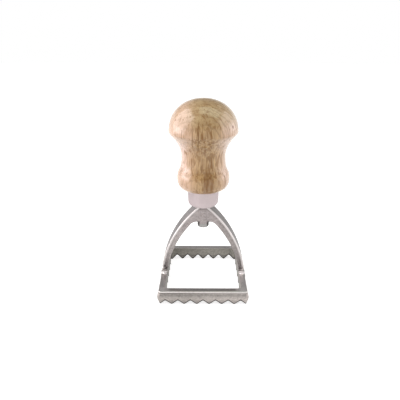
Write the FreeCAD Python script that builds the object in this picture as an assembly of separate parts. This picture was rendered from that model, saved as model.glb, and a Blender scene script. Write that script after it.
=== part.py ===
import FreeCAD, Part

import math
import os

# Ravioli stamp: a cast aluminium cutter with a turned wooden knob.
# Millimetres. +Z is up, the tooth tips stand on z = 0 and the handle's axis is the Z axis.
# The arch lies in the XZ plane, so the front of the stamp looks along -Y.

# Cutting frame
cut_size = 60.0             # square through the tooth tips
frame_height = 10.3
bar_tip_width = 3.6         # width of a bar at its tooth tips
bar_top_width = 4.2         # width of a bar at the rim
belly_overhang = 1.9        # how far the belly stands out past the tips
belly_drop = 3.0            # belly's line below the underside of the rim
belly_radius = 5.0
rim_overhang = 0.35         # how far the rim stands out past the tips
rim_height = 1.5
rim_step = 0.5              # the wall starts this far inside the rim
rim_edge_radius = 0.7
inner_edge_radius = 0.25
outer_corner_radius = 1.2
opening_corner_radius = 2.5

# Wave along the cutting edge: whole waves, counted from tip to tip
front_waves = 7             # a tip in each front corner, a valley in each back corner
side_waves = 7.5            # from the tip in front to the valley at the back
tooth_depth = 3.7
tooth_tip_radius = 0.9
tooth_valley_radius = 0.9
tip_grind = 0.1             # ground off the round tips, which leaves a flat land

# Arch of two T-section arms
arch_inset = 0.6            # outer face of the arms inside the belly, measured at the table
crown_half_width = 3.5      # from the axis to the arm's outer face where it meets the hub
band_width = 13.0
band_thickness = 1.4
web_thickness = 7.0
web_fillet = 1.0
web_edge_radius = 0.8
rib_foot_gap = 0.1          # rib's inner face to the inner edge of the bar it stands on
rib_crown_depth = 6.7
gusset_depth = 12.6         # web under the hub, down to its flat underside
gusset_corner_radius = 6.0
foot_pad_width = 18.2       # top of the low pad that each arm stands on, along the bar
foot_pad_height = 2.0       # the pad sweeps out to the bar by a quarter round of this radius

# Hub and screw boss
hub_base_height = 62.1
hub_height = 12.4
hub_diameter = 21.5
hub_taper = 0.25            # smaller radius at the bottom by this much
hub_bottom_radius = 3.0
hub_top_radius = 0.3
boss_diameter = 8.4
boss_drop = 1.2             # the boss stands out under the web

# Screw: pan head, wood thread
screw_diameter = 4.2
screw_length = 50.0
screw_point_length = 5.0
screw_head_diameter = 8.1
screw_head_height = 3.2
screw_head_radius = 1.2
recess_length = 4.4
recess_width = 1.0
recess_depth = 1.7
screw_bore_clearance = 0.2  # radial, in the casting
pilot_clearance = 0.05      # radial, in the wood
pilot_run_out = 3.0         # pilot hole beyond the screw's point

# Turned handle: heights above its seat on the hub, diameters at the same places
handle_height = 58.8
dome_diameter = 44.8
dome_height = 38.6
waist_diameter = 29.2
waist_height = 22.8
bulge_diameter = 35.4
bulge_height = 7.0
base_lip = 0.9              # the flat base is wider than the hub by this much all round

# How full each stretch of the handle's outline is: 0 cuts the corner, 1 fills it
dome_top_fullness = 0.63
dome_side_fullness = 0.53
shoulder_fullness = 0.13
waist_upper_fullness = 0.55
waist_lower_fullness = 0.70
bulge_upper_fullness = 0.45
bulge_lower_fullness = 0.80
base_fullness = 0.44

# Pieces of one casting run this far into each other before they are joined
overlap = 1.5
# Cutters reach this far past what they cut
reach = 2.0

# Derived sizes
cut_half = cut_size / 2
belly_half = cut_half + belly_overhang
belly_height = frame_height - rim_height - belly_drop
rim_half = cut_half + rim_overhang
opening_half_tip = cut_half - bar_tip_width
opening_half_top = rim_half - bar_top_width
arch_half = belly_half - arch_inset
arch_run_in = arch_half - crown_half_width
arch_radius = (arch_run_in ** 2 + hub_base_height ** 2) / (2 * arch_run_in)
arch_centre_x = arch_half - arch_radius
stem_radius = arch_radius - band_thickness - web_fillet
gusset_base_height = hub_base_height - gusset_depth
rib_inner_foot = arch_radius - (bar_top_width - rib_foot_gap)
rib_inner_crown = arch_radius - rib_crown_depth
foot_angle = math.asin(frame_height / arch_radius)
crown_angle = math.acos(-arch_centre_x / rib_inner_crown)
hub_top_height = hub_base_height + hub_height
hub_radius = hub_diameter / 2
seat_height = gusset_base_height - boss_drop
screw_radius = screw_diameter / 2

X = FreeCAD.Vector(1, 0, 0)
Y = FreeCAD.Vector(0, 1, 0)
Z = FreeCAD.Vector(0, 0, 1)


def at(x, y, z):
    return FreeCAD.Vector(x, y, z)


def line(a, b):
    return Part.LineSegment(a, b).toShape()


def arc(a, middle, b):
    return Part.Arc(a, middle, b).toShape()


def bezier(*poles):
    curve = Part.BezierCurve()
    curve.setPoles(list(poles))
    return curve.toShape()


def face(edges):
    return Part.Face(Part.Wire(edges))


def revolved(edges):
    """Solid of revolution about the handle's axis, from an outline in the XZ plane."""
    return face(edges).revolve(at(0, 0, 0), Z, 360)


def cylinder(radius, low, high):
    return Part.makeCylinder(radius, high - low, at(0, 0, low))


def both_sides(shape):
    """The shape and its mirror image across the YZ plane."""
    return [shape, shape.mirror(at(0, 0, 0), X)]


# Cutting frame

def rounded_square(half, radius, z):
    """Closed wire of a square with rounded corners, in a level plane."""
    flat = half - radius
    lean = radius * math.sqrt(0.5)
    edges = []
    for quarter in range(4):
        turn = FreeCAD.Rotation(Z, 90 * quarter)
        ends = [at(half, -flat, z), at(half, flat, z), at(flat + lean, flat + lean, z), at(flat, half, z)]
        start, end, middle, finish = [turn.multVec(point) for point in ends]
        edges += [line(start, end), arc(end, middle, finish)]
    return Part.Wire(edges)


def square_frustum(low_half, low_z, high_half, high_z, radius):
    """Block between two rounded squares. The corners stay concentric as the size changes."""
    narrow = min(low_half, high_half)
    low = rounded_square(low_half, radius + low_half - narrow, low_z)
    high = rounded_square(high_half, radius + high_half - narrow, high_z)
    return Part.makeLoft([low, high], True, True)


def level_edges(shape, z):
    """The edges of a shape that lie in one level plane."""
    return [e for e in shape.Edges if abs(e.BoundBox.ZMin - z) < 1e-4 and abs(e.BoundBox.ZMax - z) < 1e-4]


def within(edges, half):
    """Those edges that lie inside a square of this half size."""
    inside = []
    for edge in edges:
        box = edge.BoundBox
        if max(box.XMax, -box.XMin, box.YMax, -box.YMin) < half:
            inside.append(edge)
    return inside


def frame_block():
    """Outside of the cutting frame: bevel up to the belly, wall up to the stepped rim."""
    neck_height = frame_height - rim_height
    bevel = square_frustum(cut_half, 0, belly_half, belly_height, outer_corner_radius)
    belly_corner = outer_corner_radius + belly_overhang
    neck_half = rim_half - rim_step
    wall = square_frustum(belly_half, belly_height, neck_half, neck_height,
                          belly_corner - (belly_half - neck_half))
    body = bevel.fuse(wall).removeSplitter()
    body = body.makeFillet(belly_radius, level_edges(body, belly_height))
    rim_wire = rounded_square(rim_half, outer_corner_radius + rim_overhang, neck_height)
    rim = Part.Face(rim_wire).extrude(Z * rim_height)
    block = body.fuse(rim)
    return block.makeFillet(rim_edge_radius, level_edges(block, frame_height))


def opening_cutter():
    """The square opening, with a little draft so that it is wider at the teeth."""
    draft = (opening_half_top - opening_half_tip) / frame_height
    low_z = -reach
    high_z = frame_height + reach
    low = rounded_square(opening_half_tip + draft * low_z, opening_corner_radius, low_z)
    high = rounded_square(opening_half_tip + draft * high_z, opening_corner_radius, high_z)
    return Part.makeLoft([low, high], True, True)


def wave_face(pitch, first_tip, last):
    """Face below the wavy cutting edge, along X in the XZ plane, from first_tip past last."""
    height = tooth_depth + tip_grind
    radii = tooth_tip_radius + tooth_valley_radius
    flank = (math.asin(radii / math.hypot(pitch / 2, radii - height))
             - math.atan2(radii - height, pitch / 2))
    sine = math.sin(flank)
    rise = 1 - math.cos(flank)

    def tip(x):
        side = tooth_tip_radius * sine
        z = tooth_tip_radius * rise - tip_grind
        return at(x - side, 0, z), at(x, 0, -tip_grind), at(x + side, 0, z)

    def valley(x):
        side = tooth_valley_radius * sine
        z = tooth_depth - tooth_valley_radius * rise
        return at(x - side, 0, z), at(x, 0, tooth_depth), at(x + side, 0, z)

    edges = []
    count = math.ceil((last - first_tip) / pitch)
    previous = None
    for i in range(count):
        x = first_tip + i * pitch
        for left, middle, right in (tip(x), valley(x + pitch / 2)):
            if previous:
                edges.append(line(previous, left))
            edges.append(arc(left, middle, right))
            previous = right
    start = edges[0].Vertexes[0].Point
    below_start = at(start.x, 0, -reach)
    below_end = at(previous.x, 0, -reach)
    edges += [line(previous, below_end), line(below_end, below_start), line(below_start, start)]
    return face(edges)


def wave_cutter(pitch, tip_place):
    """Cutter for the bar in front, mitred at its ends. A tip of the wave stands at x = tip_place."""
    outside = belly_half + reach
    first_tip = tip_place - pitch * math.ceil((tip_place + outside) / pitch)
    wave = wave_face(pitch, first_tip, outside + pitch)
    slab = wave.extrude(Y * -outside)
    centre = at(0, 0, -reach)
    left = at(-outside, -outside, -reach)
    right = at(outside, -outside, -reach)
    wedge = face([line(centre, left), line(left, right), line(right, centre)]).extrude(Z * frame_height)
    return slab.common(wedge)


def turned(shape, degrees):
    copy = shape.copy()
    copy.rotate(at(0, 0, 0), Z, degrees)
    return copy


def cutting_frame():
    front_pitch = cut_size / front_waves
    side_pitch = cut_size / side_waves
    ring = frame_block().cut(opening_cutter())
    middle_of_bar = opening_half_top + bar_top_width / 2
    ring = ring.makeFillet(inner_edge_radius, within(level_edges(ring, frame_height), middle_of_bar))
    front = wave_cutter(front_pitch, cut_half)
    back = turned(wave_cutter(front_pitch, cut_half - front_pitch / 2), 180)
    right = turned(wave_cutter(side_pitch, -cut_half), 90)
    left = turned(wave_cutter(side_pitch, cut_half), -90)
    return ring.cut([front, back, right, left])


# Arch

def arch_point(radius, angle):
    """Point of the right arm, at a distance from its centre of curvature."""
    return at(arch_centre_x + radius * math.cos(angle), 0, radius * math.sin(angle))


def arch_angle(radius, z):
    return math.asin(z / radius)


def arch_arc(radius, start, end):
    return arc(arch_point(radius, start), arch_point(radius, (start + end) / 2), arch_point(radius, end))


def band():
    """Outer flange of the right arm with round edges, and the fillets that run into the web."""
    half = band_width / 2
    nose = band_thickness / 2
    outer = arch_half
    inner = outer - band_thickness
    stem = inner - web_fillet
    stem_end = stem - overlap / 2
    stem_half = web_thickness / 2
    bow = web_fillet * (1 - math.sqrt(0.5))
    edges = [line(at(outer, nose - half, 0), at(outer, half - nose, 0))]
    edges.append(arc(at(outer, half - nose, 0), at(outer - nose, half, 0), at(inner, half - nose, 0)))
    edges.append(line(at(inner, half - nose, 0), at(inner, stem_half + web_fillet, 0)))
    edges.append(arc(at(inner, stem_half + web_fillet, 0), at(inner - bow, stem_half + bow, 0),
                     at(stem, stem_half, 0)))
    edges.append(line(at(stem, stem_half, 0), at(stem_end, stem_half, 0)))
    edges.append(line(at(stem_end, stem_half, 0), at(stem_end, -stem_half, 0)))
    edges.append(line(at(stem_end, -stem_half, 0), at(stem, -stem_half, 0)))
    edges.append(arc(at(stem, -stem_half, 0), at(inner - bow, -stem_half - bow, 0),
                     at(inner, -stem_half - web_fillet, 0)))
    edges.append(line(at(inner, -stem_half - web_fillet, 0), at(inner, nose - half, 0)))
    edges.append(arc(at(inner, nose - half, 0), at(outer - nose, -half, 0), at(outer, nose - half, 0)))
    section = face(edges)
    centre = at(arch_centre_x, 0, 0)
    foot = math.degrees(arch_angle(arch_radius, frame_height - overlap))
    crown = math.degrees(arch_angle(arch_radius, hub_base_height + overlap))
    section.rotate(centre, Y, -foot)
    return section.revolve(centre, Y, foot - crown)


def rib_face(outer_radius, start, end):
    """Side view of the right arm between two angles, from its inner edge out to a radius."""

    def inner_point(angle):
        share = (angle - foot_angle) / (crown_angle - foot_angle)
        return arch_point(rib_inner_foot + share * (rib_inner_crown - rib_inner_foot), angle)

    low_inner = inner_point(start)
    high_inner = inner_point(end)
    return face([arch_arc(outer_radius, start, end), line(arch_point(outer_radius, end), high_inner),
                 arc(high_inner, inner_point((start + end) / 2), low_inner),
                 line(low_inner, arch_point(outer_radius, start))])


def gusset_face():
    """Side view of the web that fills the crown of the arch, up to where the arms cross."""
    side = arch_point(stem_radius, arch_angle(stem_radius, gusset_base_height))
    apex_angle = math.acos(-arch_centre_x / stem_radius)
    middle = arch_point(stem_radius, (arch_angle(stem_radius, gusset_base_height) + apex_angle) / 2)
    apex = arch_point(stem_radius, apex_angle)
    mirrored_side = at(-side.x, 0, side.z)
    mirrored_middle = at(-middle.x, 0, middle.z)
    return face([line(mirrored_side, side), arc(side, middle, apex),
                 arc(apex, mirrored_middle, mirrored_side)])


def thick(shape, width):
    """Extrudes a face of the XZ plane to both sides of it."""
    solid = shape.extrude(Y * width)
    solid.translate(Y * (-width / 2))
    return solid


def web():
    """Ribs of both arms and the gusset as one plate, with its inner edge rounded."""
    rib_start = arch_angle(arch_radius, frame_height - overlap)
    rib = thick(rib_face(stem_radius, rib_start, crown_angle), web_thickness)
    plate = thick(gusset_face(), web_thickness).fuse(both_sides(rib)).removeSplitter()

    def is_gusset_corner(edge):
        box = edge.BoundBox
        across = box.ZLength < 1e-3 and abs(box.YLength - web_thickness) < 1e-3
        return across and abs(box.ZMax - gusset_base_height) < 1e-3

    def is_inner(edge):
        along = edge.BoundBox.YLength < 1e-3
        distances = [math.hypot(abs(v.X) - arch_centre_x, v.Z) for v in edge.Vertexes]
        return along and max(distances) < stem_radius - 1e-3

    plate = plate.makeFillet(gusset_corner_radius, [e for e in plate.Edges if is_gusset_corner(e)])
    return plate.makeFillet(web_edge_radius, [e for e in plate.Edges if is_inner(e)])


def pad_block():
    """Level bar along X on the rim, whose section sweeps out with a quarter round to each side."""
    half = foot_pad_width / 2
    radius = foot_pad_height
    low = frame_height - overlap
    top = frame_height + radius
    wide = half + radius
    bow = radius * (1 - math.sqrt(0.5))
    edges = [line(at(0, -wide, low), at(0, wide, low)),
             line(at(0, wide, low), at(0, wide, frame_height)),
             arc(at(0, wide, frame_height), at(0, half + bow, frame_height + bow), at(0, half, top)),
             line(at(0, half, top), at(0, -half, top)),
             arc(at(0, -half, top), at(0, -half - bow, frame_height + bow), at(0, -wide, frame_height)),
             line(at(0, -wide, frame_height), at(0, -wide, low))]
    return face(edges).extrude(X * (belly_half + reach))


def foot_pad():
    """Low pad under the right arm, as deep as the arm across the bar and wider along it."""
    start = arch_angle(arch_radius, frame_height - overlap)
    end = arch_angle(arch_radius, frame_height + foot_pad_height + overlap)
    return thick(rib_face(arch_radius, start, end), cut_size).common(pad_block())


# Hub

def hub():
    top = hub_top_height
    low_radius = hub_radius - hub_taper
    shoulder = at(low_radius - hub_bottom_radius, 0, hub_base_height)
    side = at(low_radius, 0, hub_base_height + hub_bottom_radius)
    middle = at(shoulder.x + hub_bottom_radius * math.sqrt(0.5), 0,
                side.z - hub_bottom_radius * math.sqrt(0.5))
    bevel = hub_top_radius
    bow = bevel * (1 - math.sqrt(0.5))
    return revolved([line(at(0, 0, hub_base_height), shoulder), arc(shoulder, middle, side),
                     line(side, at(hub_radius, 0, top - bevel)),
                     arc(at(hub_radius, 0, top - bevel), at(hub_radius - bow, 0, top - bow),
                         at(hub_radius - bevel, 0, top)),
                     line(at(hub_radius - bevel, 0, top), at(0, 0, top)),
                     line(at(0, 0, top), at(0, 0, hub_base_height))])


def cast_body():
    boss = cylinder(boss_diameter / 2, seat_height, hub_base_height + overlap)
    pieces = both_sides(band()) + both_sides(foot_pad()) + [web(), hub(), boss]
    body = cutting_frame().fuse(pieces).removeSplitter()
    bore = cylinder(screw_radius + screw_bore_clearance, seat_height - reach, hub_top_height + reach)
    return body.cut(bore)


# Screw

def handle_screw():
    head_radius = screw_head_diameter / 2
    low = seat_height - screw_head_height
    high = seat_height + screw_length
    bow = screw_head_radius * (1 - math.sqrt(0.5))
    edges = [line(at(0, 0, low), at(head_radius - screw_head_radius, 0, low)),
             arc(at(head_radius - screw_head_radius, 0, low), at(head_radius - bow, 0, low + bow),
                 at(head_radius, 0, low + screw_head_radius)),
             line(at(head_radius, 0, low + screw_head_radius), at(head_radius, 0, seat_height)),
             line(at(head_radius, 0, seat_height), at(screw_radius, 0, seat_height)),
             line(at(screw_radius, 0, seat_height), at(screw_radius, 0, high - screw_point_length)),
             line(at(screw_radius, 0, high - screw_point_length), at(0, 0, high)),
             line(at(0, 0, high), at(0, 0, low))]
    screw = revolved(edges)
    slot = Part.makeBox(recess_length, recess_width, recess_depth,
                        at(-recess_length / 2, -recess_width / 2, low))
    return screw.cut([slot, turned(slot, 90)])


# Handle

def handle():
    seat = hub_top_height
    base_radius = hub_radius + base_lip

    def station(diameter, height):
        return at(diameter / 2, 0, seat + height)

    def down(point, distance):
        return at(point.x, 0, point.z - distance)

    top = station(0, handle_height)
    dome = station(dome_diameter, dome_height)
    waist = station(waist_diameter, waist_height)
    bulge = station(bulge_diameter, bulge_height)
    base = at(base_radius, 0, seat)
    edges = [
        bezier(top, at(dome.x * dome_top_fullness, 0, top.z),
               down(dome, (dome.z - top.z) * dome_side_fullness), dome),
        bezier(dome, down(dome, (dome.z - waist.z) * shoulder_fullness),
               down(waist, (waist.z - dome.z) * waist_upper_fullness), waist),
        bezier(waist, down(waist, (waist.z - bulge.z) * waist_lower_fullness),
               down(bulge, (bulge.z - waist.z) * bulge_upper_fullness), bulge),
        bezier(bulge, down(bulge, (bulge.z - base.z) * bulge_lower_fullness),
               at(base.x + (bulge.x - base.x) * base_fullness, 0, base.z), base),
        line(base, at(0, 0, seat)),
        line(at(0, 0, seat), top)]
    knob = revolved(edges)
    pilot_top = seat_height + screw_length + pilot_run_out
    pilot = cylinder(screw_radius + pilot_clearance, seat - reach, pilot_top)
    return knob.cut(pilot)


parts = {"cast_body": cast_body, "handle": handle, "handle_screw": handle_screw}
os.makedirs("parts", exist_ok=True)
for name, build in parts.items():
    shape = build()
    solid = shape if shape.ShapeType == "Solid" else shape.Solids[0]
    print(name, "valid", shape.isValid(), "solids", len(shape.Solids), "volume", round(shape.Volume, 1))
    solid.exportStep(os.path.join("parts", name + ".step"))
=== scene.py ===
# %% [markdown]
# A ravioli stamp in Blender.
#
# The stamp cuts and seals a square of filled pasta. It is made of three things: one aluminium
# casting with a wavy cutting edge, a turned beech knob, and the steel screw that holds the two
# together. The CAD model gives the real sizes of all three. This file gives them their finish:
# a fine mesh where the surface is smooth, and materials that look like the real ones.
# Blender counts in metres, and MM turns millimetres into them. Only the outline of the knob and
# the patterns in the materials are written in plain millimetres.

import math

import bpy
import bmesh
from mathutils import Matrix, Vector


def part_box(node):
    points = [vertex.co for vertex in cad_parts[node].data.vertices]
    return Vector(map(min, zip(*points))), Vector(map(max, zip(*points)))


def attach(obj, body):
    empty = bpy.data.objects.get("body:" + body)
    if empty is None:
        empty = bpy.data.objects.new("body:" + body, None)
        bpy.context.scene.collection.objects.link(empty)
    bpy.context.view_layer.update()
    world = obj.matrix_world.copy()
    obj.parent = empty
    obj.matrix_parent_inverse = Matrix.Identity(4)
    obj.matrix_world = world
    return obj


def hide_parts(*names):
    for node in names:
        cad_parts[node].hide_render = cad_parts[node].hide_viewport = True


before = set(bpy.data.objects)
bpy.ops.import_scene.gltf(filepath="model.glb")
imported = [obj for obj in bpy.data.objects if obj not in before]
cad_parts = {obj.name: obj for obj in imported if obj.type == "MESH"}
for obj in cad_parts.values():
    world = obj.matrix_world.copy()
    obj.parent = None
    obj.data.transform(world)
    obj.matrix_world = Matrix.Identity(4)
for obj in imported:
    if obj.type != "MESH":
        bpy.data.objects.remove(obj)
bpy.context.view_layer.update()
MM = 0.001
for node in ("cast_body", "handle", "handle_screw"):
    low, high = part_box(node)
    print(node, "from", [round(v / MM, 2) for v in low], "to", [round(v / MM, 2) for v in high])

# %% [markdown]
# The camera stands in front of the stamp and looks down on it by about 23 degrees, from a hand's
# length away. A camera this near makes the frame in front look wider than the frame behind, and
# that is how the photograph shows it. It could be placed by eye, but its place was worked out from
# the corners of the frame instead, because then everything else can be measured through it. The
# small shift moves the picture without turning the camera.

# %% Place the camera
CAMERA_DISTANCE = 0.23639
CAMERA_AIM_HEIGHT = 0.06491
CAMERA_PITCH = math.radians(23.32)
CAMERA_ROLL = math.radians(0.2)
FOCAL_LENGTH_PIXELS = 340.71
IMAGE_PIXELS = 400
AXIS_COLUMN = 203.25

camera_place = Vector((0, -CAMERA_DISTANCE * math.cos(CAMERA_PITCH),
                       CAMERA_AIM_HEIGHT + CAMERA_DISTANCE * math.sin(CAMERA_PITCH)))
bpy.ops.object.camera_add(location=camera_place)
camera = bpy.context.object
camera.rotation_mode = "QUATERNION"
view_direction = Vector((0, 0, CAMERA_AIM_HEIGHT)) - camera_place
camera.rotation_quaternion = view_direction.to_track_quat("-Z", "Y")
camera.rotation_mode = "XYZ"
camera.rotation_euler.rotate_axis("Z", CAMERA_ROLL)
camera.data.lens = camera.data.sensor_width * FOCAL_LENGTH_PIXELS / IMAGE_PIXELS
camera.data.shift_x = (IMAGE_PIXELS / 2 - AXIS_COLUMN) / IMAGE_PIXELS
bpy.context.scene.camera = camera
bpy.context.scene.view_settings.view_transform = "Standard"
print("lens", round(camera.data.lens, 2), "mm, camera at", [round(v, 4) for v in camera_place])

# %% [markdown]
# A few steps come back for every piece. An operator in Blender acts on whatever is selected, and
# loading the CAD model leaves its nodes selected. So each piece starts with nothing selected, and
# its faces and edges are then chosen in code by where they lie.

# %% Helpers for edit mode
def pick(*pieces):
    """Selects these pieces and nothing else, and makes the first one active."""
    bpy.ops.object.select_all(action="DESELECT")
    for piece in pieces:
        piece.select_set(True)
    bpy.context.view_layer.objects.active = pieces[0]


def edit(piece, mode="VERT"):
    """Opens a piece in edit mode with nothing selected."""
    pick(piece)
    bpy.ops.object.mode_set(mode="EDIT")
    bpy.ops.mesh.select_mode(type=mode)
    bpy.ops.mesh.select_all(action="DESELECT")
    return bmesh.from_edit_mesh(piece.data)


def done(piece):
    """Leaves edit mode."""
    bmesh.update_edit_mesh(piece.data)
    bpy.ops.object.mode_set(mode="OBJECT")


SAME_PLACE = 0.001 * MM


def clean(piece):
    """Merges doubled points and turns all faces outwards."""
    edit(piece)
    bpy.ops.mesh.select_all(action="SELECT")
    bpy.ops.mesh.remove_doubles(threshold=SAME_PLACE)
    bpy.ops.mesh.normals_make_consistent(inside=False)
    done(piece)


# %% Helpers that finish a piece
def modify(piece, kind, **settings):
    """Adds a modifier, sets it and applies it."""
    pick(piece)
    bpy.ops.object.modifier_add(type=kind)
    modifier = piece.modifiers[-1]
    for name, value in settings.items():
        setattr(modifier, name, value)
    bpy.ops.object.modifier_apply(modifier=modifier.name)


def smooth(piece, degrees):
    """Lets light run smoothly over each edge that bends by less than this."""
    pick(piece)
    bpy.ops.object.shade_smooth_by_angle(angle=math.radians(degrees))


def report(piece):
    """Prints how large the mesh is, and how many of its edges lack a face."""
    triangles = sum(len(face.vertices) - 2 for face in piece.data.polygons)
    mesh = bmesh.new()
    mesh.from_mesh(piece.data)
    open_edges = sum(1 for edge in mesh.edges if not edge.is_manifold)
    mesh.free()
    print(piece.name, "triangles", triangles, "open edges", open_edges)


def stand_for(piece, node):
    """The piece rides on the only body, is shown instead of a CAD node, and its size is printed."""
    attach(piece, "root")
    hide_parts(node)
    report(piece)


# %% [markdown]
# The casting is one piece: a square frame with teeth on its lower edge, two arms of T section
# that meet in a point, and a hub. It could be modelled again with extrusions and bevels, but its
# shape is already exact in the CAD model, down to the round edges. The CAD mesh is loose triangles,
# though, and each of them would catch the light by itself. So a copy has its doubled points merged.
# Light then runs smoothly over the round edges and still breaks at the sharp ones, and the
# weighted normals keep the flat faces flat.

# %% Copy and smooth the casting
CASTING_SMOOTH_BELOW = 38

pick(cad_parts["cast_body"])
bpy.ops.object.duplicate()
casting = bpy.context.object
casting.name = "casting"
casting.data.name = "casting"
for key in list(casting.keys()):
    if key.startswith("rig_"):
        del casting[key]
casting.parent = None
clean(casting)
smooth(casting, CASTING_SMOOTH_BELOW)
modify(casting, "WEIGHTED_NORMAL", keep_sharp=True, weight=100)
stand_for(casting, "cast_body")

# %% [markdown]
# The knob is turned on a lathe from one stick of beech. A ball and a cylinder could be blended
# into such a form, but a turner works from an outline, and Blender can do the same with a spin.
# The outline is a curve with handles. It goes through the widest and the narrowest places, where
# it runs straight up, so the handles only say how full the curve is between them. The flat base
# and the drilled hole for the screw belong to the same outline.

# %% Sizes of the knob
# Millimetres: the distance from the axis, and the height above the hub
KNOB_SEAT = 74.5
TOP = (0, 58.8)
DOME = (44.8 / 2, 38.6)
WAIST = (29.2 / 2, 22.8)
BULGE = (35.4 / 2, 7.0)
BASE = (11.65, 0)
PILOT_RADIUS = 2.15
PILOT_DEPTH = 26.8


def along_axis(start, end, share):
    """Straight above or below start, a share of the way to the height of end."""
    return (start[0], start[1] + (end[1] - start[1]) * share)


def across_axis(start, end, share):
    """Straight beside start, a share of the way to the width of end."""
    return (start[0] + (end[0] - start[0]) * share, start[1])


# Each row: a place, the handle before it and the handle after it
outline = [
    (TOP, None, across_axis(TOP, DOME, 0.63)),
    (DOME, along_axis(DOME, TOP, 0.53), along_axis(DOME, WAIST, 0.13)),
    (WAIST, along_axis(WAIST, DOME, 0.55), along_axis(WAIST, BULGE, 0.70)),
    (BULGE, along_axis(BULGE, WAIST, 0.45), along_axis(BULGE, BASE, 0.80)),
    (BASE, across_axis(BASE, BULGE, 0.44), None),
    ((PILOT_RADIUS, 0), None, None),
    ((PILOT_RADIUS, PILOT_DEPTH), None, None),
    ((0, PILOT_DEPTH), None, None),
]
print("knob", DOME[0] * 2, "mm across and", TOP[1], "mm tall")

# %% Draw the outline
POINTS_PER_CURVE = 28


def knob_point(place):
    """A place of the outline, in metres and in front of the axis."""
    return Vector((place[0] * MM, 0, (KNOB_SEAT + place[1]) * MM))


bpy.ops.object.select_all(action="DESELECT")
bpy.ops.curve.primitive_bezier_curve_add(location=(0, 0, 0))
knob = bpy.context.object
knob.name = "knob"
spline = knob.data.splines[0]
spline.bezier_points.add(len(outline) - len(spline.bezier_points))
spline.resolution_u = POINTS_PER_CURVE
for i, (place, before, after) in enumerate(outline):
    point = spline.bezier_points[i]
    point.co = knob_point(place)
    point.handle_left_type = "FREE"
    point.handle_right_type = "FREE"
    place_before = knob_point(outline[max(i - 1, 0)][0])
    place_after = knob_point(outline[min(i + 1, len(outline) - 1)][0])
    point.handle_left = knob_point(before) if before else point.co.lerp(place_before, 1 / 3)
    point.handle_right = knob_point(after) if after else point.co.lerp(place_after, 1 / 3)
pick(knob)
bpy.ops.object.convert(target="MESH")
print("outline points", len(knob.data.vertices))

# %% Spin the knob
SPIN_STEPS = 144
KNOB_SMOOTH_BELOW = 30

edit(knob)
bpy.ops.mesh.select_all(action="SELECT")
bpy.ops.mesh.spin(steps=SPIN_STEPS, angle=2 * math.pi, center=(0, 0, 0), axis=(0, 0, 1),
                  use_auto_merge=True)
done(knob)
clean(knob)
smooth(knob, KNOB_SMOOTH_BELOW)
stand_for(knob, "handle")

# %% [markdown]
# The screw comes up through the casting from below. Only its pan head shows, under the point of
# the arch. The head could be spun like the knob, but it is nearly a plain disc, so it starts as
# one. Its lower edge is rounded with a bevel, its upper edge is only broken, and the cross for the
# screwdriver is cut out with two bars that grow narrower as they go in.

# %% Screw head
HEAD_TOP = 48.3 * MM
HEAD_HEIGHT = 3.2 * MM
HEAD_RADIUS = 4.05 * MM
HEAD_ROUNDING = 1.15 * MM
HEAD_EDGE_BREAK = 0.1 * MM

bpy.ops.object.select_all(action="DESELECT")
bpy.ops.mesh.primitive_cylinder_add(vertices=64, radius=HEAD_RADIUS, depth=HEAD_HEIGHT,
                                    location=(0, 0, HEAD_TOP - HEAD_HEIGHT / 2))
screw = bpy.context.object
screw.name = "knob_screw"
bpy.ops.object.transform_apply(location=True)
mesh = edit(screw, "EDGE")
for e in mesh.edges:
    if all(v.co.z < HEAD_TOP - HEAD_HEIGHT / 2 for v in e.verts):
        e.select_set(True)
bpy.ops.mesh.bevel(offset=HEAD_ROUNDING, segments=8, profile=0.5, affect="EDGES")
bpy.ops.mesh.select_all(action="DESELECT")
mesh = bmesh.from_edit_mesh(screw.data)
for e in mesh.edges:
    if all(abs(v.co.z - HEAD_TOP) < SAME_PLACE for v in e.verts):
        e.select_set(True)
bpy.ops.mesh.bevel(offset=HEAD_EDGE_BREAK, segments=2, affect="EDGES")
done(screw)
print("plain head", len(screw.data.polygons), "faces")

# %% Cross in the screw head
CROSS_LENGTH = 4.4 * MM
CROSS_WIDTH = 1.0 * MM
CROSS_DEPTH = 1.7 * MM
CROSS_TAPER = 0.62

for quarter in (0, 90):
    bpy.ops.object.select_all(action="DESELECT")
    bpy.ops.mesh.primitive_cube_add(size=1, location=(0, 0, HEAD_TOP - HEAD_HEIGHT),
                                    rotation=(0, 0, math.radians(quarter)),
                                    scale=(CROSS_LENGTH, CROSS_WIDTH, CROSS_DEPTH * 2))
    cutter = bpy.context.object
    bpy.ops.object.transform_apply(location=True, rotation=True, scale=True)
    mesh = edit(cutter, "FACE")
    for f in mesh.faces:
        if f.normal.z > 0.9:
            f.select_set(True)
    bpy.ops.transform.resize(value=(CROSS_TAPER, CROSS_TAPER, 1))
    done(cutter)
    modify(screw, "BOOLEAN", object=cutter, operation="DIFFERENCE", solver="EXACT")
    bpy.data.objects.remove(cutter)
print("head with its cross", len(screw.data.polygons), "faces")

# %% [markdown]
# Above the head a plain shank runs up through the hub, and a wood thread bites into the beech.
# None of it shows, but the piece should be whole when it is taken apart. The shank and the point
# are discs that are extruded and narrowed. The thread could be a bump in the material, but then
# its outline would stay smooth. So a small notch, one pitch tall, is drawn beside the axis, and
# the Screw modifier winds it up. A bisect at each end cuts it off square and closes it.

# %% Screw shank and point
SHANK_RADIUS = 2.1 * MM
THREAD_CORE = 1.5 * MM
THREAD_START = 66 * MM
THREAD_END = 93.3 * MM
SCREW_TIP = 98.3 * MM


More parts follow.
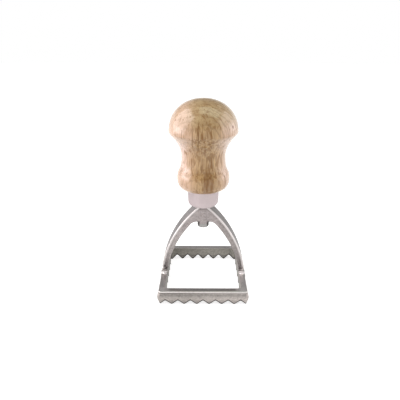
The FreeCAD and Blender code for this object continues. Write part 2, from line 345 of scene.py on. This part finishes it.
def disc_stack(name, rings, sides=48):
    """Closed round body about the axis, from its radii and heights, by extruding a disc."""
    radius, height = rings[0]
    bpy.ops.object.select_all(action="DESELECT")
    bpy.ops.mesh.primitive_circle_add(vertices=sides, radius=radius, fill_type="NGON",
                                      location=(0, 0, height))
    body = bpy.context.object
    body.name = name
    bpy.ops.object.transform_apply(location=True)
    mesh = edit(body, "FACE")
    for f in mesh.faces:
        f.select_set(True)
    for next_radius, next_height in rings[1:]:
        rise = (0, 0, next_height - height)
        ratio = next_radius / radius
        bpy.ops.mesh.extrude_region_move(TRANSFORM_OT_translate={"value": rise})
        bpy.ops.transform.resize(value=(ratio, ratio, 1))
        radius, height = next_radius, next_height
    done(body)
    clean(body)
    return body


shank = disc_stack("shank", [(SHANK_RADIUS, HEAD_TOP), (SHANK_RADIUS, THREAD_START - 0.6 * MM),
                             (THREAD_CORE, THREAD_START)])
point = disc_stack("point", [(THREAD_CORE, THREAD_END), (THREAD_CORE * 0.9, THREAD_END + 1 * MM),
                             (0.05 * MM, SCREW_TIP)])
report(shank)
report(point)

# %% Screw thread
THREAD_PITCH = 1.8 * MM
TURNS = 17
STEPS_PER_TURN = 32
# One notch from bottom to top: the radius, and the share of the pitch where it is reached
NOTCH = [(THREAD_CORE, 0.0), (THREAD_CORE, 0.45), (SHANK_RADIUS, 0.68), (SHANK_RADIUS, 0.77),
         (THREAD_CORE, 1.0)]

bpy.ops.object.select_all(action="DESELECT")
bpy.ops.mesh.primitive_grid_add(x_subdivisions=1, y_subdivisions=len(NOTCH) - 1, size=1)
thread = bpy.context.object
thread.name = "thread"
mesh = edit(thread)
for v in mesh.verts:
    if v.co.x > 0:
        v.select_set(True)
bpy.ops.mesh.delete(type="VERT")
mesh = bmesh.from_edit_mesh(thread.data)
for v, (radius, share) in zip(sorted(mesh.verts, key=lambda v: v.co.y), NOTCH):
    v.co = Vector((radius, 0, THREAD_START - THREAD_PITCH + share * THREAD_PITCH))
done(thread)
modify(thread, "SCREW", axis="Z", angle=2 * math.pi, screw_offset=THREAD_PITCH, iterations=TURNS,
       steps=STEPS_PER_TURN, render_steps=STEPS_PER_TURN, use_merge_vertices=True,
       merge_threshold=SAME_PLACE)
clean(thread)
for height, cut_below, cut_above in ((THREAD_START, True, False), (THREAD_END, False, True)):
    edit(thread)
    bpy.ops.mesh.select_all(action="SELECT")
    bpy.ops.mesh.bisect(plane_co=(0, 0, height), plane_no=(0, 0, 1), use_fill=True,
                        clear_inner=cut_below, clear_outer=cut_above)
    done(thread)
clean(thread)
report(thread)

# %% Join the screw
SCREW_SMOOTH_BELOW = 35

for part in (shank, point, thread):
    pick(screw, part)
    bpy.ops.object.join()
smooth(screw, SCREW_SMOOTH_BELOW)
stand_for(screw, "handle_screw")

# %% [markdown]
# A material in Blender is a graph of nodes. Drawn by hand, the graph of a piece of wood is large
# and hard to read, so here it is written as sums. One small class stands for the output of a node,
# and adding, multiplying or subtracting such outputs adds the Math node that does it. Most of them
# are masks. A mask is 1 in one place and 0 elsewhere, two masks multiplied leave what lies in both,
# and a colour is laid on with a mask as if through a stencil.

# %% Shader sums
class Signal:
    """The output of a node. Sums with it add Math nodes."""

    def __init__(self, graph, socket):
        self.graph = graph
        self.socket = socket

    def maths(self, operation, *others):
        return self.graph.add("ShaderNodeMath", {"operation": operation}, self, *others)

    def __add__(self, other):
        return self.maths("ADD", other)

    def __radd__(self, other):
        return self.maths("ADD", other)

    def __sub__(self, other):
        return self.maths("SUBTRACT", other)

    def __rsub__(self, other):
        return self.graph.add("ShaderNodeMath", {"operation": "SUBTRACT"}, other, self)

    def __mul__(self, other):
        return self.maths("MULTIPLY", other)

    def __rmul__(self, other):
        return self.maths("MULTIPLY", other)

    def __truediv__(self, other):
        return self.maths("DIVIDE", other)

    def __pow__(self, other):
        return self.maths("POWER", other)

    def at_least(self, other):
        return self.maths("MAXIMUM", other)

    def at_most(self, other):
        return self.maths("MINIMUM", other)

    def part(self):
        """What is left after the whole number."""
        return self.maths("FRACT")

    def size(self):
        """The value without its sign, so that left and right count alike."""
        return self.maths("ABSOLUTE")

    def zigzag(self, top):
        """Runs from 0 up to top and back again, over and over."""
        return self.maths("PINGPONG", top)

    def slope(self, start, end, at_start, at_end):
        """Runs straight from one value at start to another at end, and is level beyond them."""
        return self.graph.add("ShaderNodeMapRange", {}, self, start, end, at_start, at_end)

    def rise(self, start, end):
        """0 up to start, 1 from end, and a soft step between."""
        return self.graph.add("ShaderNodeMapRange", {"interpolation_type": "SMOOTHSTEP"},
                              self, start, end, 0.0, 1.0)

    def fall(self, start, end):
        """1 up to start, 0 from end, and a soft step between."""
        return 1 - self.rise(start, end)

    def between(self, start, full, ebb, end):
        """0 up to start, 1 from full to ebb, and 0 again from end."""
        return self.rise(start, full) * self.fall(ebb, end)


def distance(first, *others):
    """How far away a place is, from how far it is along each axis."""
    total = first * first
    for length in others:
        total = total + length * length
    return total ** 0.5


# %% Graphs of nodes
class Graph:
    """The nodes of one material or of the room."""

    def __init__(self, owner, shader):
        owner.use_nodes = True
        self.tree = owner.node_tree
        self.shader = self.tree.nodes[shader]

    def add(self, kind, settings, *values, output=0, **named):
        """Adds a node: its settings first, then values or links of its inputs, in order or by name."""
        node = self.tree.nodes.new(kind)
        for name, value in settings.items():
            if name == "stops":
                for element, (position, colour) in zip(node.color_ramp.elements, value):
                    element.position = position
                    element.color = (*colour, 1)
            else:
                setattr(node, name, value)
        inputs = [s for s in node.inputs if s.enabled]
        for socket, value in zip(inputs, values):
            self.put(socket, value)
        for name, value in named.items():
            self.put(node.inputs[name], value)
        if isinstance(output, tuple):
            return [Signal(self, node.outputs[name]) for name in output]
        return Signal(self, node.outputs[output])

    def put(self, socket, value):
        """Links an output to a socket, or writes a plain value into it."""
        if isinstance(value, Signal):
            self.tree.links.new(value.socket, socket)
        elif socket.type == "RGBA" and len(value) == 3:
            socket.default_value = (*value, 1)
        else:
            socket.default_value = value

    def set(self, **inputs):
        """Sets or links the shader's own sockets, with underscores for spaces."""
        for name, value in inputs.items():
            self.put(self.shader.inputs[name.replace("_", " ")], value)

    def split(self, place):
        """The three numbers of a place."""
        return self.add("ShaderNodeSeparateXYZ", {}, place, output=("X", "Y", "Z"))


# %% Finishes
COLOUR_RESULT = 2


class Finish(Graph):
    """The nodes of a material. Places on the piece are in millimetres."""

    def __init__(self, name):
        self.material = bpy.data.materials.new(name)
        super().__init__(self.material, "Principled BSDF")
        metres = self.add("ShaderNodeTexCoord", {}, output="Object")
        self.place = self.add("ShaderNodeVectorMath", {"operation": "SCALE"}, metres, Scale=1 / MM)
        self.x, self.y, self.z = self.split(self.place)

    def stretched(self, x, y, z):
        """The place, multiplied by a factor along each axis."""
        return self.add("ShaderNodeVectorMath", {"operation": "MULTIPLY"}, self.place, (x, y, z))

    def noise(self, where, detail=2.0, roughness=0.5):
        """Soft noise from 0 to 1 with one swell per unit of where."""
        return self.add("ShaderNodeTexNoise", {}, Vector=where, Scale=1.0, Detail=detail,
                        Roughness=roughness)

    def mix(self, factor, first, second, blend="MIX"):
        """The first colour where factor is 0, the second where it is 1."""
        return self.add("ShaderNodeMix", {"data_type": "RGBA", "blend_type": blend},
                        factor, first, second, output=COLOUR_RESULT)

    def paint(self, colour, *layers):
        """Lays colours over the first one, each through its own mask, the last one on top."""
        for mask, layer in layers:
            colour = self.mix(mask, colour, layer)
        return colour

    def bump(self, height, depth_mm):
        """Normal for a surface that rises by depth_mm where height is 1."""
        return self.add("ShaderNodeBump", {}, Strength=1.0, Distance=depth_mm * MM, Height=height,
                        output="Normal")

    def dress(self, piece):
        """Gives the piece this material and no other."""
        piece.data.materials.clear()
        piece.data.materials.append(self.material)
        print(piece.name, "in", self.material.name, "with", len(self.tree.nodes), "nodes")


# %% [markdown]
# The aluminium was cast and then tumbled with stones. The stones polish whatever stands out: the
# edges of the arms, their feet and the top of the frame. They hardly reach the flats of the arms,
# the walls of the frame or its inside, so there the dull grey skin of the casting is left. On top
# of that, light and shade are painted into the colour: painted highlights on the tops of the side
# bars, the corners, the rim and the feet of the arms, and painted shade in the crease under the rim,
# under the hub, on the web, beside the boss and along the cutting edge. Such places could be
# painted by hand on an image, but the casting is all straight bars and arcs, so each place is found
# from its height and its distance from the middle, and stays sharp however near one looks.

# %% Parts of the casting
# The arch's outer band is an arc about a point on the far side of the axis
ARCH_RADIUS = 83.26
ARCH_CENTRE = 51.96

aluminium = Finish("cast_aluminium")
x, y, z = aluminium.x, aluminium.y, aluminium.z
beside = x.size()
along = y.size()
from_centre = beside.at_least(along)
below_rim = z.fall(8.5, 9.0)
inside = from_centre.fall(26.3, 26.7) * z.fall(9.9, 10.3)
on_arms = z.between(10.5, 11.2, 61.6, 62.4)
below_band = ARCH_RADIUS - distance(beside + ARCH_CENTRE, z)
arm_flat = y.between(-6.0, -5.6, 6.1, 6.4) * on_arms
web_side = along.fall(4.4, 4.9) * on_arms * below_band.rise(1.2, 1.8)
hub = z.rise(61.8, 62.6)
print("masks of the parts:", len(aluminium.tree.nodes), "nodes")

# %% Painted highlights on the tops and painted shade in the corners
# The side bars' tops and the corners mirror the lamps, and the front bar's top hardly does: these
# are painted highlights, and the front bar's top is painted darker. The side bars' outer top edge
# is coloured darker as well.
frame_top = z.rise(9.8, 10.2)
off_arms = 1 - on_arms
front_top = y.fall(-27.0, -25.5) * frame_top * along.fall(28.9, 29.4) * beside.fall(25.5, 27.0)
side_top = beside.rise(21.0, 26.0) * frame_top * off_arms
corner_top = side_top * along.rise(24.0, 27.0)
side_edge = beside.rise(29.4, 29.9) * z.rise(8.8, 9.2) * off_arms
# A painted highlight along the outer top edge of the front and back bars
rim_painted_highlight = along.rise(29.2, 29.7) * z.rise(9.5, 9.8) * off_arms
# The toe at the foot of each arm carries a painted highlight
toe = along.rise(6.4, 7.0) * z.between(10.35, 10.6, 15.0, 18.0) * beside.fall(28.5, 30.0)
# Painted shadow on the web just under the hub
under_hub_painted_shadow = z.rise(58.4, 60.0) * web_side
# Painted shade in the crease under the rim
crease = z.between(8.5, 8.8, 9.25, 9.55) * from_centre.rise(28.0, 28.5)
# Painted dark reflection on the boss's left and right, where it faces the dark hollow of the arch
boss_painted_shade = beside.between(2.4, 3.3, 4.3, 4.6) * z.between(44.0, 46.0, 49.5, 51.0)
print("masks so far:", len(aluminium.tree.nodes), "nodes")

# %% [markdown]
# The frame's lower edge is a wave of teeth, ground to an edge, and painted shade follows it in a thin
# line.
# A mask at one height would cut straight through the teeth. So the wave is worked out again from
# its pitch and its slopes, on the front and back and on the two sides, and the line ends at the same
# height over it everywhere.

# %% Height of the wavy edge
HALF_SIDE = 30.0
FRONT_PITCH = 60 / 7
SIDE_PITCH = 8.0
TOOTH_DEPTH = 3.7
FLANK_SLOPE = 1.09


def wave_height(along, pitch):
    """Height of the cutting edge, from a tip of the wave at 0 on."""
    flat = (FLANK_SLOPE * pitch / 2 - TOOTH_DEPTH) / 2
    rising = along.zigzag(pitch / 2) * FLANK_SLOPE - flat
    return rising.at_least(0.0).at_most(TOOTH_DEPTH)


is_back = y.rise(-0.1, 0.1)
is_side = (beside - along).rise(-0.1, 0.1)
across_wave = wave_height(x - HALF_SIDE + is_back * (FRONT_PITCH / 2), FRONT_PITCH)
side_wave = wave_height(y + HALF_SIDE, SIDE_PITCH)
wave = across_wave + (side_wave - across_wave) * is_side
# The thin line of painted shade along the cutting edge
edge_painted_shade = (z - wave).fall(0.8, 1.6)
print("a tooth every", round(FRONT_PITCH, 2), "mm in front and every", SIDE_PITCH, "mm at the sides")

# %% [markdown]
# The colours of the casting are laid over each other from the ground tone up, each through its
# mask. One grey with a rougher or smoother shine could do on a new casting, but this one is worn
# in some places and dull in others. Several tones change from left to right or from low to high,
# as they do in the photograph, where both sides don't mirror the same things: these changes are
# painted light and shade, as are the bright tops and the dark hollows. Noise at four sizes then
# breaks them up: wide clouds, blotches, the grain left by the stones, and small dents.

# %% Tones of hub, arms and frame, with painted light and shade
# The hub's sides are painted darker than its middle, and its left darker than its right: painted shade
# that evens out the lamps mirrored in them
hub_painted_side_shade = aluminium.mix(x.rise(-3.0, 3.0), (0.455, 0.40, 0.405), (0.54, 0.48, 0.485))
hub_tone_with_painted_shade = aluminium.mix(beside.rise(3.0, 9.5), (0.60, 0.53, 0.535), hub_painted_side_shade)
# The toe's painted highlight is brighter on the left than on the right
toe_painted_highlight = aluminium.mix(x.rise(-5.0, 5.0), (1.0, 0.95, 0.94), (0.84, 0.80, 0.79))
# Below the rim the dull skin is darker, and painted shade makes the left darker than the right
wall_skin_with_painted_shade = aluminium.mix(x.rise(-10.0, 25.0), (0.37, 0.34, 0.32), (0.44, 0.402, 0.38))
# Inside the frame the dull skin is darker still, with painted shade darker on the left
inside_skin_with_painted_shade = aluminium.mix(x.rise(-14.0, 4.0), (0.21, 0.197, 0.176), (0.265, 0.25, 0.224))
# The flats of the arms are dull skin; painted shade darkens them higher up and on the right, a little
# less near the hub
arm_flat_skin_with_painted_shade = aluminium.paint(
    (0.37, 0.348, 0.34),
    (z.rise(18.0, 34.0), (0.205, 0.193, 0.19)),
    (z.rise(48.0, 56.0), (0.29, 0.27, 0.265)),
    (x.rise(-5.0, 5.0) * 0.5, (0.17, 0.158, 0.152)),
)
# The web between the bands gets painted shade: darkest at its foot, lighter in the middle, darker
# again under the hub and on the right
web_painted_shade = aluminium.paint(
    (0.33, 0.295, 0.29),
    (z.rise(13.0, 22.0), (0.45, 0.41, 0.40)),
    (z.rise(36.0, 48.0), (0.36, 0.32, 0.315)),
    (x.rise(8.0, 14.0) * 0.5, (0.27, 0.245, 0.235)),
)
tone = aluminium.paint(
    (0.60, 0.565, 0.555),
    # the hub, with painted shade at its sides
    (hub, hub_tone_with_painted_shade),
    # Painted: the front bar's top darker, highlights on the side tops and corners, the side edge
    # darker
    (front_top, (0.44, 0.415, 0.405)),
    (side_top * (0.05 + x.rise(-5.0, 5.0) * 0.65), (0.86, 0.81, 0.80)),
    (corner_top * 0.55, (0.95, 0.90, 0.89)),
    (side_edge, (0.42, 0.395, 0.39)),
    # painted highlight on the rim
    (rim_painted_highlight, (0.80, 0.76, 0.74)),
    # painted highlight on the toes
    (toe, toe_painted_highlight),
    # dull flats of the arms, with painted shade
    (arm_flat, arm_flat_skin_with_painted_shade),
    # painted shade on the web
    (web_side, web_painted_shade),
    # painted shadow under the hub
    (under_hub_painted_shadow * 0.6, (0.14, 0.12, 0.12)),
    # dull skin below the rim, with painted shade on the left
    (below_rim, wall_skin_with_painted_shade),
    # painted shade in the crease
    (crease * 0.8, (0.13, 0.11, 0.10)),
    # darker skin inside the frame, with painted shade on the left
    (inside, inside_skin_with_painted_shade),
    # painted dark reflection beside the boss
    (boss_painted_shade * 0.9, (0.10, 0.09, 0.09)),
    # painted shade along the cutting edge
    (edge_painted_shade * 0.9, (0.07, 0.06, 0.055)),
)
print("with their tones:", len(aluminium.tree.nodes), "nodes")

# %% Cast aluminium
cloud = aluminium.noise(aluminium.stretched(0.12, 0.12, 0.12), detail=3.0)
blotch = aluminium.noise(aluminium.stretched(0.7, 0.7, 0.9), detail=3.0, roughness=0.6)
grain = aluminium.noise(aluminium.stretched(1.6, 1.6, 1.6), detail=4.0, roughness=0.65)
dents = aluminium.noise(aluminium.stretched(0.55, 0.55, 0.55), detail=2.0)
dull = arm_flat.at_least(below_rim).at_least(inside)
shade = 1 + (cloud - 0.5) * 0.25 + (grain - 0.5) * (0.30 + dull * 0.60)
shade = shade + (blotch - 0.5) * (1 - hub) * (0.35 + dull * 0.65)
aluminium.set(Base_Color=aluminium.mix(1.0, tone, shade, blend="MULTIPLY"), Metallic=1.0,
              Roughness=0.32 + hub * 0.40 + dull * 0.20 + (grain - 0.5) * 0.16,
              Normal=aluminium.bump(grain * 0.6 + dents, 0.03))
aluminium.dress(casting)

# %% [markdown]
# Beech is a pale, pinkish brown wood. A knob like this is turned from a stick that runs along the
# axis, with the middle of the tree somewhere behind it. The year rings are then large cylinders
# that the round knob cuts through: long streaks on the waist and thin curved contour lines on the
# dome. A picture of wood could be wrapped round the knob, but it would stretch over the dome and
# show a seam. So the pattern is built inside the wood, from the distance to the middle of the tree,
# and the knob simply cuts it open.

# %% Year rings
# The middle of the tree: millimetres from the axis at one height, and its lean per millimetre up
TREE_X = 14.0
TREE_Y = 46.0
TREE_HEIGHT = 100.0
LEAN_X = 0.10
LEAN_Y = 0.16
RING_WIDTH = 2.6

beech = Finish("lacquered_beech")
x, y, z = beech.x, beech.y, beech.z
wander = beech.noise(beech.stretched(0.07, 0.07, 0.02), detail=2.0) - 0.5
flutter = beech.noise(beech.stretched(0.5, 0.5, 0.06), detail=3.0) - 0.5
up = z - TREE_HEIGHT
tree_x = x - TREE_X + up * LEAN_X + wander * 8.0
tree_y = y - TREE_Y + up * LEAN_Y + wander * 10.0
ring = ((distance(tree_x, tree_y) + flutter * 1.6) / RING_WIDTH).part()
late_wood = ring.between(0.30, 0.90, 0.93, 1.0)
ring_line = ring.between(0.62, 0.88, 0.92, 1.0)
print("year rings", RING_WIDTH, "mm apart")

# %% [markdown]
# Beech is known by its short dark flecks, which are rays and pores and all point up the grain.
# They are noise that is drawn out along the axis, of which only the highest swells are kept. They
# stand closest down the middle of the knob, which is coloured darker there, and they thin out on
# the dome, where the grain is cut across. The lowest part of the middle is darker still.

# %% Dashes along the grain
def dashes(across_mm, along_mm, least):
    """Short dark dashes of about this size. The higher least is, the fewer there are."""
    swell = beech.noise(beech.stretched(1 / across_mm, 1 / across_mm, 1 / along_mm), detail=1.0)
    return (swell - least).rise(0.0, 0.06)


# Down the middle the wood is coloured darker and more golden, and the dashes stand closer there
middle_band = (x - 2.0 + wander * 10.0).size().fall(3.0, 13.0)
core = (x - 2.5 + wander * 6.0).size().fall(0.5, 3.4) * z.fall(84.0, 98.0)
on_top = z.rise(114.0, 126.0)
fine_dash = dashes(1.1, 8.0, 0.62 - middle_band * 0.10 + on_top * 0.08)
bold_dash = dashes(1.9, 15.0, 0.65 - middle_band * 0.08 + on_top * 0.10)
print("grain so far:", len(beech.tree.nodes), "nodes")

# %% [markdown]
# No two knobs are alike, and this one has a few marks of its own: three dark lines up its front
# and a pin knot on each side of the dome. Noise can't be told where to fall, so each mark is set
# at its place.

# %% Marks that stand out
LINE_END_FADE = 2.0


def long_line(middle, low, high):
    """A dark line up the grain, about half a millimetre wide."""
    across = (x - middle + flutter * 2.4).size()
    ends = z.between(low - LINE_END_FADE, low + LINE_END_FADE,
                     high - LINE_END_FADE, high + LINE_END_FADE)
    return across.fall(0.20, 0.65) * ends


def pin_knot(place, radius):
    """A tiny round knot."""
    reach = distance(x - place[0], y - place[1], z - place[2])
    return reach.fall(radius * 0.6, radius)


left_line = long_line(-6.6, 105.0, 120.0)
middle_line = long_line(-3.0, 103.0, 122.0)
low_line = long_line(2.4, 76.0, 90.0)
lines = (left_line + middle_line + low_line) * y.fall(-4.0, 0.0)
knots = pin_knot((-16.8, -11.7, 121.8), 0.9) * 0.7 + pin_knot((17.3, -12.6, 117.9), 1.2)
print("with its marks:", len(beech.tree.nodes), "nodes")

# %% [markdown]
# The knob is finished with clear lacquer, which is the shader's coat: a second, glossier surface
# over the wood. The colours are laid on from pale to dark as on the metal. In the open pores and
# dashes the lacquer sinks in and hardly shines, so the coat is thinner there. With a full coat
# everywhere, the white room would shine on the dark dashes and turn them grey.

# %% Depth of the wood's colour
fibre = beech.noise(beech.stretched(1.7, 1.7, 0.10), detail=3.0, roughness=0.65)
streak = beech.noise(beech.stretched(0.30, 0.30, 0.022), detail=2.0).rise(0.42, 0.66)
on_waist = z.between(84.0, 92.0, 106.0, 110.0)
depth = late_wood * 0.14 + (fibre - 0.5) * (1.3 + on_waist * 0.9)
depth = (depth + streak * 0.30 + middle_band * 0.36 + core * 0.50).at_least(0.0).at_most(1.0)
contour = 0.14 + x.rise(-2.0, 6.0) * z.rise(108.0, 116.0) * 0.26
print("with fibres and streaks:", len(beech.tree.nodes), "nodes")

# %% Beech under clear lacquer
# The dome's top is painted lighter: pale on the left, a painted highlight, and olive further right, a
# painted tint of the overhead lamp's reflection
dome_top_painted_highlight = beech.mix(x.rise(-12.0, -4.0), (0.80, 0.57, 0.39), (0.60, 0.48, 0.27))
wood = beech.paint(
    (0.69, 0.43, 0.27),
    (middle_band, (0.65, 0.40, 0.145)),
    # painted highlight on the dome's top
    (z.rise(114.0, 124.0) * 0.55, dome_top_painted_highlight),
    # painted highlight on the left of the waist
    (on_waist * x.fall(-13.0, -9.0) * 0.7, (0.80, 0.54, 0.43)),
    (depth, (0.345, 0.176, 0.052)),
    (ring_line * contour, (0.24, 0.12, 0.03)),
    (fine_dash * 0.62, (0.27, 0.115, 0.015)),
    (bold_dash * 0.62, (0.24, 0.10, 0.012)),
    (lines * 0.60, (0.19, 0.080, 0.012)),
    (knots * 0.80, (0.21, 0.06, 0.015)),
)
sunk = fine_dash * 0.40 + bold_dash * 0.40 + lines * 0.70 + core * 0.25 + knots * 0.6
beech.set(Base_Color=wood, Roughness=0.42, Coat_Weight=1 - sunk.at_most(0.85), Coat_Roughness=0.14,
          Coat_IOR=1.65, Normal=beech.bump(fibre, 0.02))
beech.dress(knob)

# %% [markdown]
# The screw is plain bright steel. Its head was turned, which leaves faint rings about the axis.
# They could be cut into the mesh, but they are finer than its faces. Noise that reads only the
# distance from the axis and the height gives rings by itself. The head's left and right are
# painted darker: a painted reflection of the dark hollow under the arch.

# %% Screw steel
steel = Finish("screw_steel")
from_axis = distance(steel.x, steel.y)
rings = steel.add("ShaderNodeCombineXYZ", {}, from_axis * 9.0, steel.z * 2.0, 0.0)
marks = steel.noise(rings, detail=2.0)
steel_tone = steel.paint(
    (0.26, 0.25, 0.245),
    (marks, (0.36, 0.35, 0.34)),
    # painted reflection: the head's sides darker
    (steel.x.size().rise(2.4, 3.4) * 0.85, (0.07, 0.065, 0.06)),
)
steel.set(Base_Color=steel_tone, Metallic=1.0, Roughness=0.34 + (marks - 0.5) * 0.15,
          Normal=steel.bump(marks, 0.008))
steel.dress(screw)

# %% [markdown]
# The stamp stands on a white table. The table is a plain disc, because nothing of it should catch
# the eye but the shadow. Lit by the lamps alone it would come out grey, and more light would wash
# out the metal. So it glows a little, but only where it is looked at, mirrored or seen through
# glass. That glow casts no light on the wood, and the shadow stays.

# %% Table
TABLE_RADIUS = 6

bpy.ops.object.select_all(action="DESELECT")
bpy.ops.mesh.primitive_circle_add(vertices=64, radius=TABLE_RADIUS, fill_type="NGON",
                                  location=(0, 0, 0))
table = bpy.context.object
table.name = "table"
paper = Finish("white_table")
for_camera, for_mirror, for_glass = paper.add(
    "ShaderNodeLightPath", {}, output=("Is Camera Ray", "Is Glossy Ray", "Is Transmission Ray"))
seen = for_camera.at_least(for_mirror).at_least(for_glass)
far_away = distance(paper.x, paper.y).rise(250.0, 1500.0)
glow = paper.mix(far_away, (0.74, 0.74, 0.74), (0.95, 0.95, 0.95))
paper.set(Base_Color=(0.72, 0.72, 0.72), Roughness=0.9, Specular_IOR_Level=0.0,
          Emission_Color=paper.mix(seen, (0, 0, 0), glow), Emission_Strength=1.0)
paper.dress(table)

# %% [markdown]
# Round the stamp is a room that is white near the table and greyer above, and a little brighter on
# the camera's side. The metal is a mirror, though a blurred one, so what stands around it matters
# as much as the lamps. The room is the world's background, and walls would only cost time. The
# camera itself sees plain white behind the stamp.

# %% Room
WHITE = (1, 1, 1)
UPPER_GREY = (0.30, 0.30, 0.30)

world = bpy.data.worlds.new("room")
bpy.context.scene.world = world
room = Graph(world, "Background")
direction = room.add("ShaderNodeTexCoord", {}, output="Generated")
_, backwards, upwards = room.split(direction)
walls = room.add("ShaderNodeValToRGB", {"stops": [(0.20, WHITE), (0.34, UPPER_GREY)]}, upwards)
front = backwards.slope(-0.2, -0.9, 0.0, 0.22)
light = room.add("ShaderNodeMath", {"operation": "ADD", "use_clamp": True}, walls, front)
room.set(Color=light.at_least(room.add("ShaderNodeLightPath", {}, output="Is Camera Ray")))
print("room with", len(room.tree.nodes), "nodes")

# %% [markdown]
# The light is that of a photographer's tent: a large soft lamp on the left, a weaker one on the
# right and one overhead, which is greenish and gives the dome its olive patch. Large lamps give
# soft shadows and wide, calm reflections. Two low strips do what the large ones can't: they reach
# under the rim and light the walls of the frame.

# %% Lamps
LAMP_AIM = Vector((0, 0, 0.06))


def softbox(name, place, width, height, power, colour):
    """A rectangular lamp that faces the stamp."""
    bpy.ops.object.light_add(type="AREA", location=place)
    lamp = bpy.context.object
    lamp.name = name
    lamp.rotation_euler = (LAMP_AIM - Vector(place)).to_track_quat("-Z", "Y").to_euler()
    lamp.data.shape = "RECTANGLE"
    lamp.data.size = width
    lamp.data.size_y = height
    lamp.data.energy = power
    lamp.data.color = colour
    print(name, power, "W")


softbox("left_softbox", (-0.78, -0.03, 0.50), 0.95, 1.15, 7.0, (1, 0.94, 0.95))
softbox("right_softbox", (0.78, 0.02, 0.36), 0.9, 0.8, 2.2, (1, 0.94, 0.96))
softbox("left_strip", (-0.76, -0.06, 0.16), 0.45, 0.18, 0.45, (1, 0.93, 0.97))
softbox("right_strip", (0.74, 0.20, 0.16), 0.45, 0.18, 0.25, (1, 0.93, 0.97))
softbox("top_softbox", (0.22, -0.02, 0.9), 0.5, 0.75, 1.5, (0.86, 1, 0.86))
